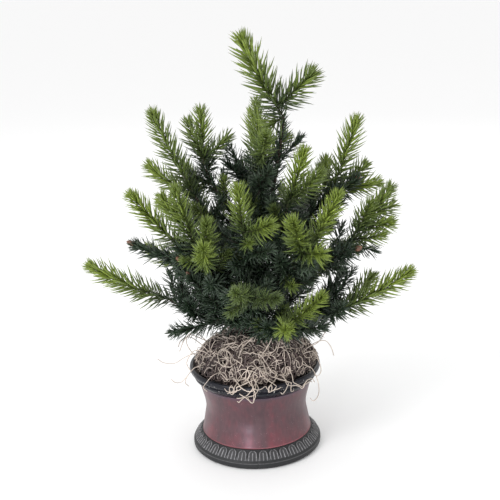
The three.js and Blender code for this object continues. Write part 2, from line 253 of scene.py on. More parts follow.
def needle_group():
    """Needles along every edge chain of the guide, in a spiral round it.

    The guide's points carry `along` (0 at a shoot's root, 1 at its end), `reach` (needle size) and
    `tone`, which the needles keep.
    """
    group, nodes, source, sink = new_group(
        "needles along a shoot",
        [
            ("Spacing", FLOAT, 0.6 * MM), ("Length", FLOAT, 15 * MM), ("Width", FLOAT, 1.2 * MM),
            ("Flatness", FLOAT, 0.6), ("Bluntness", FLOAT, 0.0), ("Curl", FLOAT, 0.12),
            ("Root Angle", FLOAT, 1.0), ("Tip Angle", FLOAT, 0.4), ("Scatter", FLOAT, 0.15),
            ("Rod Radius", FLOAT, 1.0 * MM), ("Seed", COUNT, 1),
            ("Needle Material", MATERIAL, None), ("Rod Material", MATERIAL, None),
        ],
    )
    curve = nodes.add("GeometryNodeMeshToCurve", {"Mesh": source["Geometry"]}).outputs[0]

    def named(title):
        node = nodes.add("GeometryNodeInputNamedAttribute", {"Name": title})
        return value_socket(node.outputs, "Attribute")

    def noise(low, high, offset):
        seed = nodes.plus(source["Seed"], offset)
        node = nodes.add("FunctionNodeRandomValue", {"Seed": seed}, data_type="FLOAT")
        nodes.put(value_socket(node.inputs, "Min"), low)
        nodes.put(value_socket(node.inputs, "Max"), high)
        return value_socket(node.outputs, "Value")

    # one needle, root at the origin and pointing up, bent towards +Y
    cone = nodes.add(
        "GeometryNodeMeshCone",
        {"Vertices": 4, "Side Segments": 3, "Radius Top": 0.0, "Radius Bottom": 0.5, "Depth": 1.0},
    ).outputs["Mesh"]
    position = nodes.add("GeometryNodeInputPosition").outputs[0]
    place = nodes.add("ShaderNodeSeparateXYZ", {0: position}).outputs
    share = place["Z"]
    widening = nodes.maths("MINIMUM", nodes.maths("DIVIDE", share, 0.3), 1.0)
    shoulder = nodes.maths("MULTIPLY_ADD", widening, 0.45, 0.55)
    point = nodes.maths("SUBTRACT", 1.0, nodes.maths("POWER", share, 4.0))
    # a blunt needle keeps its width to the last ring
    point = nodes.maths("MAXIMUM", point, source["Bluntness"])
    cone_taper = nodes.maths("MAXIMUM", nodes.maths("SUBTRACT", 1.0, share), 0.05)
    fullness = nodes.maths("DIVIDE", nodes.times(shoulder, point), cone_taper)
    across = nodes.times(fullness, source["Width"])
    x = nodes.times(place["X"], across)
    y = nodes.times(nodes.times(place["Y"], across), source["Flatness"])
    bend = nodes.times(nodes.times(share, share), source["Curl"])
    y = nodes.maths("MULTIPLY_ADD", bend, source["Length"], y)
    z = nodes.times(share, source["Length"])
    shaped = nodes.add("ShaderNodeCombineXYZ", {"X": x, "Y": y, "Z": z}).outputs[0]
    needle = nodes.add("GeometryNodeSetPosition", {"Geometry": cone, "Position": shaped}).outputs[0]

    # where needles stand, and how they lean
    stand = nodes.add(
        "GeometryNodeCurveToPoints", {"Curve": curve, "Length": source["Spacing"]}, mode="LENGTH"
    )
    axis = nodes.add("FunctionNodeAlignRotationToVector", {"Vector": stand.outputs["Tangent"]}, axis="Z")
    index = nodes.add("GeometryNodeInputIndex").outputs[0]
    around = nodes.plus(nodes.times(index, GOLDEN_ANGLE), noise(-0.5, 0.5, 1))
    ends = {0: named("along"), 2: source["Root Angle"], 3: source["Tip Angle"]}
    lean = nodes.add("ShaderNodeMix", ends, data_type="FLOAT").outputs[0]
    lean = nodes.plus(lean, nodes.times(noise(-1.0, 1.0, 2), source["Scatter"]))
    turn = axis.outputs[0]
    for angles in ({"Z": around}, {"X": lean}):
        euler = nodes.add("ShaderNodeCombineXYZ", angles).outputs[0]
        twist = nodes.add("FunctionNodeEulerToRotation", {0: euler}).outputs[0]
        rotate = nodes.add(
            "FunctionNodeRotateRotation", {"Rotation": turn, "Rotate By": twist}, rotation_space="LOCAL"
        )
        turn = rotate.outputs[0]
    size = nodes.times(named("reach"), noise(0.82, 1.12, 3))
    spread = nodes.add(
        "GeometryNodeInstanceOnPoints",
        {"Points": stand.outputs["Points"], "Instance": needle, "Rotation": turn, "Scale": size},
    ).outputs[0]
    tone = nodes.plus(named("tone"), noise(-0.12, 0.12, 4))
    store = nodes.add("GeometryNodeStoreNamedAttribute", data_type="FLOAT", domain="INSTANCE")
    nodes.put(store.inputs["Geometry"], spread)
    nodes.put(store.inputs["Name"], "tone")
    nodes.put(value_socket(store.inputs, "Value"), tone)
    needles = coated(nodes, store.outputs[0], source["Needle Material"])

    # the rod that carries them
    thinning = nodes.maths("SUBTRACT", 1.0, nodes.times(named("along"), 0.65))
    circle = nodes.add(
        "GeometryNodeCurvePrimitiveCircle", {"Resolution": 6, "Radius": source["Rod Radius"]}
    ).outputs["Curve"]
    rod = nodes.add(
        "GeometryNodeCurveToMesh",
        {"Curve": curve, "Profile Curve": circle, "Scale": thinning, "Fill Caps": True},
    )
    rod = coated(nodes, rod.outputs[0], source["Rod Material"])
    both = nodes.add("GeometryNodeJoinGeometry")
    nodes.put(both.inputs[0], needles)
    nodes.put(both.inputs[0], rod)
    nodes.put(sink, both.outputs[0])
    return group


def strand_group():
    """A round strand along every edge chain of the guide."""
    group, nodes, source, sink = new_group(
        "strands", [("Thickness", FLOAT, 1 * MM), ("Sides", COUNT, 4), ("Material", MATERIAL, None)]
    )
    curve = nodes.add("GeometryNodeMeshToCurve", {"Mesh": source["Geometry"]}).outputs[0]
    radius = nodes.times(source["Thickness"], 0.5)
    circle = nodes.add(
        "GeometryNodeCurvePrimitiveCircle", {"Resolution": source["Sides"], "Radius": radius}
    ).outputs["Curve"]
    strand = nodes.add(
        "GeometryNodeCurveToMesh", {"Curve": curve, "Profile Curve": circle, "Fill Caps": True}
    ).outputs[0]
    nodes.put(sink, coated(nodes, strand, source["Material"]))
    return group


# ---- materials ---------------------------------------------------------------------------------


def new_material(name, **constants):
    """A material with its Principled shader's constants set on the shader's own sockets."""
    material = bpy.data.materials.new(name)
    material.use_nodes = True
    nodes = Nodes(material.node_tree)
    shader = material.node_tree.nodes["Principled BSDF"]
    titles = {
        "roughness": "Roughness", "metallic": "Metallic", "specular": "Specular IOR Level",
        "coat": "Coat Weight", "coat_roughness": "Coat Roughness", "sheen": "Sheen Weight",
    }
    for word, value in constants.items():
        shader.inputs[titles[word]].default_value = value
    return material, nodes, shader


def mixed(nodes, share, first, second):
    """first blended into second; each is a colour or a socket."""
    mix = nodes.add("ShaderNodeMix", data_type="RGBA", clamp_factor=True)
    sockets = {s.identifier: s for s in mix.inputs}
    nodes.put(sockets["Factor_Float"], share)
    for name, value in (("A_Color", first), ("B_Color", second)):
        nodes.put(sockets[name], value if isinstance(value, bpy.types.NodeSocket) else (*value, 1))
    return next(s for s in mix.outputs if s.identifier == "Result_Color")


def object_noise(nodes, scale, detail=3.0, stretch=(1, 1, 1)):
    """Noise from 0 to 1 on object coordinates."""
    place = nodes.add("ShaderNodeTexCoord").outputs["Object"]
    mapped = nodes.add("ShaderNodeMapping", {"Vector": place, "Scale": stretch}).outputs[0]
    noise = nodes.add("ShaderNodeTexNoise", {"Vector": mapped, "Scale": scale, "Detail": detail})
    return noise.outputs["Fac"]


def ramp(nodes, value, low, high, out_low=0.0, out_high=1.0):
    """value from low..high carried to out_low..out_high, held at both ends."""
    node = nodes.add("ShaderNodeMapRange", {"Value": value, "From Min": low, "From Max": high}, clamp=True)
    nodes.put(node.inputs["To Min"], out_low)
    nodes.put(node.inputs["To Max"], out_high)
    return node.outputs[0]


def bump(nodes, shader, height, distance, strength):
    """Fine relief on the shader's surface."""
    node = nodes.add("ShaderNodeBump", {"Height": height, "Distance": distance, "Strength": strength})
    nodes.put(shader.inputs["Normal"], node.outputs[0])


def two_tone(name, dark, light, roughness, scale, detail, depth, strength, stretch=(1, 1, 1)):
    """Two tones by one noise, which is also the grain. depth is in mm."""
    material, nodes, shader = new_material(name, roughness=roughness)
    grain = object_noise(nodes, scale, detail, stretch)
    nodes.put(shader.inputs["Base Color"], mixed(nodes, grain, dark, light))
    bump(nodes, shader, grain, depth * MM, strength)
    return material


def needle_material(settings):
    """Soft moulded needles: fresh green at a shoot's end, deep blue-green at its root."""
    material, nodes, shader = new_material("fir_tip_needles", roughness=0.42, specular=0.4)
    tone = nodes.add("ShaderNodeAttribute", attribute_name="tone").outputs["Fac"]
    mottle = object_noise(nodes, 180, 2)
    tone = nodes.plus(tone, ramp(nodes, mottle, 0.3, 0.7, -0.08, 0.08))
    lower = mixed(nodes, ramp(nodes, tone, 0.0, 0.5), settings.deep, settings.mid)
    hue = mixed(nodes, ramp(nodes, tone, 0.5, 1.0), lower, settings.fresh)
    nodes.put(shader.inputs["Base Color"], hue)
    bump(nodes, shader, object_noise(nodes, 900, 2), 0.05 * MM, 0.4)
    return material


def foil_material(settings):
    """Slit foil: dark blue-green, lighter in streaks where a painted highlight stands in for its shine."""
    material, nodes, shader = new_material("fir_foil_needles", roughness=0.36, specular=0.5)
    tone = nodes.add("ShaderNodeAttribute", attribute_name="tone").outputs["Fac"]
    streak = object_noise(nodes, 260, 2)
    share = nodes.plus(tone, ramp(nodes, streak, 0.35, 0.65, -0.25, 0.25))
    # painted highlight: tone and streaks mix the foil towards its highlight colour
    nodes.put(shader.inputs["Base Color"], mixed(nodes, share, settings.green, settings.sheen))
    bump(nodes, shader, streak, 0.05 * MM, 0.4)
    return material


def rod_material():
    """Moulded spine of a tip."""
    return two_tone("fir_tip_spine", (0.05, 0.085, 0.03), (0.085, 0.065, 0.03), 0.6, 240, 3, 0.1, 0.5)


def wire_material():
    """Brown-black tape wound round twisted wire."""
    material, nodes, shader = new_material("fir_wire_tape", roughness=0.62)
    share = object_noise(nodes, 160, 4)
    nodes.put(
        shader.inputs["Base Color"], mixed(nodes, share, (0.022, 0.018, 0.013), (0.07, 0.05, 0.032))
    )
    bump(nodes, shader, object_noise(nodes, 700, 3), 0.15 * MM, 0.6)
    return material


def bark_material():
    """Dark tape with streaks along the trunk."""
    dark, light = (0.014, 0.012, 0.008), (0.040, 0.032, 0.020)
    return two_tone("fir_trunk_tape", dark, light, 0.75, 60, 5, 0.6, 0.7, (1, 1, 0.25))


def bud_material():
    """Brown scales with paler edges."""
    return two_tone("fir_bud", (0.035, 0.016, 0.010), (0.30, 0.15, 0.095), 0.55, 320, 3, 0.3, 0.7)


def moss_material(name, dark, light):
    """Dry moss fibre: patches and flecks between two browns."""
    material, nodes, shader = new_material(name, roughness=0.85, specular=0.2, sheen=0.15)
    patch = object_noise(nodes, 38, 3)
    fleck = object_noise(nodes, 420, 4)
    flecks = nodes.times(fleck, 0.4)
    share = nodes.maths("MULTIPLY_ADD", ramp(nodes, patch, 0.35, 0.65), 0.7, flecks)
    nodes.put(shader.inputs["Base Color"], mixed(nodes, share, dark, light))
    bump(nodes, shader, fleck, 0.3 * MM, 0.8)
    return material


def speckle(nodes, scale, low, high):
    """Small spots, 0 outside and 1 inside."""
    place = nodes.add("ShaderNodeTexCoord").outputs["Object"]
    spots = nodes.add("ShaderNodeTexVoronoi", {"Vector": place, "Scale": scale}).outputs["Distance"]
    thin = object_noise(nodes, scale * 0.21, 2)
    return nodes.times(ramp(nodes, spots, high, low), ramp(nodes, thin, 0.56, 0.6))


def burgundy_material(settings, low, high):
    """Metallic paint over a moulded wall: brushed streaks, redder towards its ends, fine specks, a pale
    red line at the foot that is partly wear and partly painted highlight, and painted shade under the rim.
    """
    material, nodes, shader = new_material(
        "urn_burgundy", metallic=0.35, coat=0.24, coat_roughness=0.26, specular=0.3
    )
    place = nodes.add("ShaderNodeTexCoord").outputs["Object"]
    height = nodes.add("ShaderNodeSeparateXYZ", {0: place}).outputs["Z"]
    streaks = object_noise(nodes, 55, 4, (1, 1, 0.10))
    cloud = object_noise(nodes, 22, 3)
    foot = ramp(nodes, height, low + 22 * MM, low + 1 * MM)
    blotch = object_noise(nodes, 130, 4, (1, 1, 0.6))
    red = nodes.plus(nodes.times(foot, 0.55), ramp(nodes, cloud, 0.4, 0.75, 0.0, 0.35))
    red = nodes.plus(red, ramp(nodes, blotch, 0.4, 0.7, -0.15, 0.35))
    paint = mixed(nodes, red, settings.burgundy, settings.burgundy_edge)
    brown = tuple(0.62 * c + 0.02 for c in settings.burgundy)
    paint = mixed(nodes, ramp(nodes, streaks, 0.35, 0.75), paint, brown)
    grain = ramp(nodes, object_noise(nodes, 330, 4, (1, 1, 0.3)), 0.4, 0.7, 0.0, 0.24)
    paint = mixed(nodes, grain, paint, (0.035, 0.022, 0.028))
    # partly wear and partly painted highlight: a pale red line along the lowest 2 mm, in patches
    rubbed_and_highlit = ramp(nodes, cloud, 0.3, 0.6, 0.3, 0.9)
    worn = nodes.times(ramp(nodes, height, low + 2.0 * MM, low), rubbed_and_highlit)
    paint = mixed(nodes, worn, paint, (0.45, 0.16, 0.18))
    # painted shade: the top 5 mm darkens half way to a cold dark, as in the rim's shadow
    paint = mixed(nodes, ramp(nodes, height, high - 5 * MM, high, 0.0, 0.5), paint, (0.07, 0.06, 0.09))
    specks = speckle(nodes, 700, 0.10, 0.2)
    paint = mixed(nodes, nodes.times(specks, 0.5), paint, (0.55, 0.40, 0.42))
    nodes.put(shader.inputs["Base Color"], paint)
    nodes.put(shader.inputs["Roughness"], ramp(nodes, streaks, 0.3, 0.7, 0.34, 0.5))
    bump(nodes, shader, nodes.plus(object_noise(nodes, 120, 3), specks), 0.12 * MM, 0.35)
    return material


def black_material(settings):
    """Gloss black with a painted cold sheen in patches and a few pale chips."""
    material, nodes, shader = new_material("urn_black", coat=0.12, coat_roughness=0.15, specular=0.22)
    cloud = object_noise(nodes, 70, 4)
    # painted sheen: patches of the black lean to a colder, lighter black
    paint = mixed(nodes, ramp(nodes, cloud, 0.3, 0.8), settings.black, (0.013, 0.014, 0.020))
    chips = nodes.add("ShaderNodeAttribute", attribute_name="wear").outputs["Fac"]
    spots = ramp(nodes, object_noise(nodes, 380, 3), 0.635, 0.67)
    paint = mixed(nodes, nodes.times(spots, chips), paint, (0.62, 0.60, 0.56))
    nodes.put(shader.inputs["Base Color"], paint)
    nodes.put(shader.inputs["Roughness"], ramp(nodes, cloud, 0.25, 0.75, 0.20, 0.38))
    bump(nodes, shader, object_noise(nodes, 150, 3), 0.2 * MM, 0.35)
    return material


def charcoal_material(settings):
    """Matt charcoal, rubbed to grey where the relief stands high."""
    material, nodes, shader = new_material("urn_charcoal", specular=0.35)
    high = nodes.add("ShaderNodeAttribute", attribute_name="wear").outputs["Fac"]
    grain = object_noise(nodes, 300, 4)
    rub = nodes.times(ramp(nodes, high, 0.2, 0.85), ramp(nodes, grain, 0.3, 0.62, 0.35, 1.0))
    ground = mixed(nodes, object_noise(nodes, 50, 3), settings.charcoal, (0.018, 0.019, 0.020))
    nodes.put(shader.inputs["Base Color"], mixed(nodes, rub, ground, settings.worn))
    nodes.put(shader.inputs["Roughness"], ramp(nodes, grain, 0.3, 0.7, 0.42, 0.6))
    bump(nodes, shader, grain, 0.15 * MM, 0.5)
    return material


# ---- shape helpers -----------------------------------------------------------------------------


def unique_points(node):
    """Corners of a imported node, each once."""
    points = np.array([v.co for v in frame["nodes"][node].data.vertices], float)
    return np.unique(np.round(points, 5), axis=0)


def rings(points, order, sides):
    """Middles of a rod's sections, from its corners put in order along it."""
    points = points[np.argsort(order, kind="stable")]
    return points[: len(points) // sides * sides].reshape(-1, sides, 3).mean(1)


def smooth_line(points, step):
    """A Catmull-Rom line through points, about `step` apart."""
    points = np.asarray(points, float)
    padded = np.vstack([2 * points[0] - points[1], points, 2 * points[-1] - points[-2]])
    made = []
    for a, b, c, d in zip(padded, padded[1:], padded[2:], padded[3:]):
        count = max(1, round(float(np.linalg.norm(c - b)) / step))
        for t in np.arange(count) / count:
            square, cube = 2 * a - 5 * b + 4 * c - d, 3 * b - a - 3 * c + d
            made.append(0.5 * (2 * b + (c - a) * t + square * t**2 + cube * t**3))
    return np.array([*made, points[-1]])


def tangents_of(line):
    """Directions of length 1 along a line."""
    ahead = np.gradient(line, axis=0)
    return ahead / np.linalg.norm(ahead, axis=1)[:, None]


def stem_line(body):
    """Middle of a branch's wire, from its hinge outwards."""
    hinge = np.array(JOINTS[body]["pos_m"])
    corners = unique_points(body + "_stem")
    line = rings(corners, np.linalg.norm(corners - hinge, axis=1), STEM_SIDES)
    return smooth_line(line, 2 * MM)


def trunk_line():
    """Middle of the trunk, from its foot upwards."""
    corners = unique_points("trunk")
    return smooth_line(rings(corners, corners[:, 2], TRUNK_SIDES), 2 * MM)


def sharp_ends(node):
    """The pointed ends of a spray: corners that stand over an even ring of neighbours."""
    mesh = frame["nodes"][node].data
    around = {}
    places = [tuple(np.round(v.co, 5)) for v in mesh.vertices]
    for face in mesh.polygons:
        corners = [places[i] for i in face.vertices]
        for corner in corners:
            around.setdefault(corner, set()).update(c for c in corners if c != corner)
    found = []
    for corner, near in around.items():
        near = np.array(list(near))
        reach = np.linalg.norm(near - near.mean(0), axis=1)
        rise = np.linalg.norm(near.mean(0) - corner)
        if len(near) >= SPRAY_SIDES and rise > 1.4 * MM and reach.std() < 0.25 * reach.mean():
            if abs(np.median(reach) - SPRAY_NECK) < 0.5 * MM:
                found.append(np.array(corner))
    return found


def sagging(start, end, count):
    """Points of a shoot that hangs a little below a straight line."""
    middle = (start + end) / 2 - np.array([0, 0, SAG * np.linalg.norm(end - start)])
    t = np.linspace(0, 1, count)[:, None]
    return (1 - t) ** 2 * start + 2 * t * (1 - t) * middle + t**2 * end


def shoots_of(node, carrier):
    """Lines of a spray's shoots. The farthest reaches back to the carrier, and the others leave it."""
    corners = unique_points(node)
    gaps = np.linalg.norm(corners[:, None] - carrier[None], axis=2)
    start = carrier[np.unravel_index(gaps.argmin(), gaps.shape)[1]]
    ends = [end for end in sharp_ends(node) if np.linalg.norm(end - start) > 2 * TUFT]
    if not ends:
        raise ValueError(f"{node} has no pointed end")
    ends.sort(key=lambda end: -np.linalg.norm(end - start))
    first = sagging(start, ends[0], 40)
    if "twig" not in node:
        first = shortened(first)
    fork = first[round(FORK * len(first))]
    return [first] + [shortened(sagging(fork, end, 40)) for end in ends[1:]]


def shortened(line):
    """A shoot's line without its last stretch, where only needles are."""
    return line[np.linalg.norm(line - line[-1], axis=1) > TUFT]


def shoot_to(line, end):
    """A shoot that leaves a line a little before the point nearest to its end."""
    nearest = int(np.linalg.norm(line - end, axis=1).argmin())
    return sagging(line[max(0, nearest - 12)], end, 16)


def side_shoots(line, rng, count, reach, first):
    """Short shoots that leave a line in a spiral, leaning forwards, and stay clear of the moss. first
    is the share of the line at which they start, and reach is about their length."""
    ahead = tangents_of(line)
    turn = rng.uniform(0, TAU)
    made = []
    for i in range(count):
        place = round((first + (1 - first) * (i + 0.5) / count) * (len(line) - 1))
        side = np.cross(ahead[place], [0, 0, 1.0]) + [1e-6, 0, 0]
        side /= np.linalg.norm(side)
        over = np.cross(side, ahead[place])
        turn += GOLDEN_ANGLE + rng.normal(0, 0.3)
        lean = rng.uniform(0.7, 1.05)
        rise = math.sin(turn) if line[place][2] > LOW_BRANCH else abs(math.sin(turn))
        outwards = math.cos(turn) * side + 0.8 * rise * over + [0, 0, 0.15]
        inner = 1.1 - 0.45 * place / len(line)
        end = line[place] + inner * reach * rng.uniform(0.75, 1.15) * (
            math.cos(lean) * ahead[place] + math.sin(lean) * outwards / np.linalg.norm(outwards)
        )
        end[2] = max(end[2], MOSS_CLEAR)
        made.append(sagging(line[place], end, 16))
    return made


def new_object(name, vertices, faces=(), edges=(), material=None, attributes=None):
    """A mesh object at the origin. attributes are one value for each vertex."""
    mesh = bpy.data.meshes.new(name)
    mesh.from_pydata([tuple(v) for v in vertices], list(edges), list(faces))
    for title, values in (attributes or {}).items():
        mesh.attributes.new(title, "FLOAT", "POINT").data.foreach_set("value", np.asarray(values, np.float32))
    if material:
        mesh.materials.append(material)
    mesh.polygons.foreach_set("use_smooth", [True] * len(mesh.polygons))
    mesh.update()
    made = bpy.data.objects.new(name, mesh)
    bpy.context.scene.collection.objects.link(made)
    return made


def guide(name, lines, attributes):
    """An object of loose edge chains, one for each line, with matching point values."""
    vertices, edges = [], []
    for line in lines:
        first = len(vertices)
        vertices.extend(line)
        edges.extend((first + i, first + i + 1) for i in range(len(line) - 1))
    joined = {title: np.concatenate(values) for title, values in attributes.items()}
    return new_object(name, vertices, edges=edges, attributes=joined)


def revolved(outline, sides, displace=None):
    """Vertices and faces of a turned shell. The outline is (radius, height) pairs, listed
    anticlockwise; where it starts and ends on the axis it gets poles, and otherwise it closes on
    itself. displace(angles, radii, heights) may return other radii and heights, which have one row
    for each ring and one column for each angle."""
    outline = np.asarray(outline, float)
    angles = np.arange(sides) * TAU / sides
    poles = outline[0][0] < 1e-9
    rows = outline[1:-1] if poles else outline
    radii = np.repeat(rows[:, :1], sides, axis=1)
    heights = np.repeat(rows[:, 1:], sides, axis=1)
    if displace:
        radii, heights = displace(angles, radii, heights)
    vertices = np.stack([radii * np.cos(angles), radii * np.sin(angles), heights], axis=2).reshape(-1, 3)
    faces = []
    last = len(rows) - 1 if poles else len(rows)
    for row in range(last):
        a, b = row * sides, (row + 1) % len(rows) * sides
        for i in range(sides):
            j = (i + 1) % sides
            faces.append((a + i, a + j, b + j, b + i))
    if poles:
        low, high = len(vertices), len(vertices) + 1
        vertices = np.vstack([vertices, [0, 0, outline[0][1]], [0, 0, outline[-1][1]]])
        top = (len(rows) - 1) * sides
        for i in range(sides):
            j = (i + 1) % sides
            faces.append((low, j, i))
            faces.append((high, top + i, top + j))
    return vertices, faces


def rounded(outline, radius, steps=4):
    """The outline with each corner replaced by a short arc."""
    outline = [np.array(p, float) for p in outline]
    made = [outline[0]]
    for before, corner, after in zip(outline, outline[1:], outline[2:]):
        into, out = before - corner, after - corner
        reach = min(radius, np.linalg.norm(into) * 0.45, np.linalg.norm(out) * 0.45)
        start = corner + into / np.linalg.norm(into) * reach
        end = corner + out / np.linalg.norm(out) * reach
        for t in np.linspace(0, 1, steps):
            made.append((1 - t) ** 2 * start + 2 * t * (1 - t) * corner + t**2 * end)
    return [*made, outline[-1]]


def finished(piece, body, slot, *nodes):
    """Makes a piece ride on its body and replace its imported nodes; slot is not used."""
    if not piece.data.polygons:
        raise RuntimeError(f"{piece.name} came out empty")
    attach(piece, body)
    if nodes:
        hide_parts(*nodes)


def shaped(name, shape, material, body, slot, *nodes, attributes=None):
    """A finished piece from its (vertices, faces)."""
    finished(new_object(name, *shape, material=material, attributes=attributes), body, slot, *nodes)


def grown_along(name, lines, attributes, group, inputs, body, slot, *nodes):
    """A finished piece that a Geometry Nodes group makes along lines."""
    made = grown(name, guide(name + "_guide", lines, attributes), group, inputs)
    finished(made, body, slot, *nodes)


# ---- urn ---------------------------------------------------------------------------------------


def leaf_height(across, up):
    """Relief of one leaf, 0 to 1. across is -1 to 1 over its pitch; up is 0 at its root, at the foot's
    edge, and 1 at its rounded top."""
    dome = np.clip((up - 0.6) / 0.36, 0, 1)
    half = 0.80 * np.sqrt(np.clip(1 - dome**2, 0, 1))
    inside = half - np.abs(across)
    border = np.clip(1 - np.abs(inside - 0.10) / 0.13, 0, 1)
    vein = np.clip(1 - np.abs(across) / 0.16, 0, 1) * np.clip((0.80 - up) / 0.1, 0, 1)
    bowl = np.where(inside > 0, 0.25, 0)
    dart = np.clip(1 - (1 - np.abs(across)) / 0.13, 0, 1) * np.clip((0.55 - up) / 0.4, 0, 1)
    return np.maximum.reduce([border * (half > 0.02), 0.85 * vein, bowl, 0.6 * dart])


def make_foot(settings):
    """Dish with an upright edge, a step and a slope of raised leaves."""
    radius, _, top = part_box("pot_foot")[1]
    edge, band = 8 * MM, 10 * MM
    top_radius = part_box("pot_body")[1].x - 2 * MM
    rows = 26  # rings of the slope
    slope = [
        (radius - 2 * MM + (top_radius - radius + 2 * MM) * t, band + (top - band) * t)
        for t in np.linspace(0, 1, rows)
    ]
    lower = rounded(
        [
            (0, 0), (radius - 3 * MM, 0), (radius, 3 * MM), (radius, edge),
            (radius - 0.9 * MM, edge + 0.6 * MM), (radius - 1.2 * MM, band - 0.8 * MM), slope[0],
        ],
        0.8 * MM,
    )
    floor = 6 * MM
    inner = [(top_radius - 4 * MM, top), (top_radius - 1 * MM, 10 * MM), (top_radius - 4 * MM, floor)]
    outline = [*lower, *slope[1:], *inner, (0, floor)]
    first = len(lower) - 2  # the ring where the slope starts, past the pole
    lean = math.atan2(top - band, radius - 2 * MM - top_radius)
    wear = {}

    def leaves(angles, radii, heights):
        share = np.linspace(0, 1, rows)[:, None]
        across = ((angles * settings.leaves / TAU) % 1)[None] * 2 - 1
        relief = leaf_height(across, (share - 0.06) / 0.88) * (share > 0.04) * (share < 0.97)
        lift = relief * settings.leaf_depth
        radii[first : first + rows] += lift * math.sin(lean)
        heights[first : first + rows] += lift * math.cos(lean)
        worn = np.zeros_like(radii)
        worn[first : first + rows] = relief
        # faint mould line with a nick, at the front
        off = np.abs((angles + math.pi / 2 + math.pi) % TAU - math.pi) * radius
        nick = np.exp(-((off / (0.9 * MM)) ** 2)) * 0.7 * MM
        near_edge = (heights < band) & (radii > radius - 5 * MM)
        radii -= nick[None] * near_edge
        worn += 0.35 * np.exp(-((heights - edge) ** 2) / (0.7 * MM) ** 2) * (radii > radius - 2 * MM)
        wear["values"] = np.clip(worn, 0, 1)
        return radii, heights

    shell = revolved(outline, settings.leaves * SIDES_PER_LEAF, leaves)
    values = {"wear": np.append(wear["values"].ravel(), [0, 0])}  # the poles are clean
    paint = charcoal_material(settings)
    shaped("urn_foot", shell, paint, TRUNK_BODY, "foot", "pot_foot", attributes=values)


def make_body(settings):
    """Waisted wall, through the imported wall's own rings."""
    low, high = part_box("pot_body")
    bottom, top, wall = low.z, high.z, 4 * MM
    corners = unique_points("pot_body")
    reach = np.hypot(corners[:, 0], corners[:, 1])
    levels = np.unique(np.round(corners[:, 2], 5))
    outer = [(reach[np.abs(corners[:, 2] - z) < 1e-4].max(), z) for z in levels]
    line = smooth_line([(r, z, 0) for r, z in outer], 1.5 * MM)[:, :2]
    lip = 0.5 * MM
    outline = [
        (line[0][0] - lip, bottom), (line[0][0], bottom + lip), *line[1:-1], (line[-1][0], top - lip),
        (line[-1][0] - lip, top), (line[-1][0] - wall, top),
        *[(r - wall, z) for r, z in line[-2:0:-6]], (line[0][0] - wall, bottom),
    ]
    paint = burgundy_material(settings, bottom, top)
    shaped("urn_body", revolved(outline, 160), paint, TRUNK_BODY, "body", "pot_body")


def make_rim(settings):
    """Fillet, groove and rolled lip, with a wide slope inside."""
    low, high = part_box("pot_rim")
    bottom, top, radius = low.z, high.z, high.x
    mouth = 60 * MM
    outline = rounded(
        [
            (mouth, bottom + 3 * MM), (mouth, bottom), (70.5 * MM, bottom), (71.5 * MM, bottom + 1.5 * MM),
            (73.5 * MM, bottom + 3.2 * MM), (76 * MM, bottom + 5.5 * MM), (76.3 * MM, bottom + 8 * MM),
            (74.6 * MM, bottom + 9.4 * MM), (75.5 * MM, bottom + 10.8 * MM), (radius - 1 * MM, top - 7 * MM),
            (radius, top - 4 * MM), (radius - 0.8 * MM, top - 1 * MM), (radius - 3.5 * MM, top),
            (radius - 6 * MM, top - 1.6 * MM), (mouth + 1 * MM, bottom + 7 * MM), (mouth, bottom + 3 * MM),
        ],
        1.6 * MM, 5,
    )[:-1]
    heights = np.array([z for _, z in outline])
    reach = np.array([r for r, _ in outline])
    # chips sit along the groove and on the lip's outer edge
    groove = np.exp(-(((heights - bottom - 9.6 * MM) / (1.6 * MM)) ** 2)) * (reach > 72 * MM)
    lip = np.exp(-(((heights - top + 4 * MM) / (1.5 * MM)) ** 2)) * (reach > radius - 2 * MM)
    sides = 192
    values = {"wear": np.repeat(np.maximum(groove, 0.5 * lip), sides)}
    paint = black_material(settings)
    shaped("urn_rim", revolved(outline, sides), paint, TRUNK_BODY, "rim", "pot_rim", attributes=values)


def dress_filling():
    """The block and the plug inside the urn keep their shape."""
    cement = two_tone("cast_cement", (0.36, 0.35, 0.32), (0.55, 0.53, 0.49), 0.9, 140, 6, 0.5, 0.8)
    foam = two_tone("dry_foam", (0.07, 0.14, 0.07), (0.13, 0.22, 0.11), 0.95, 420, 6, 0.4, 0.8)
    for node, material in (("ballast", cement), ("foam_plug", foam)):
        made = frame["nodes"][node]
        made.data.materials.clear()
        made.data.materials.append(material)


# ---- moss --------------------------------------------------------------------------------------

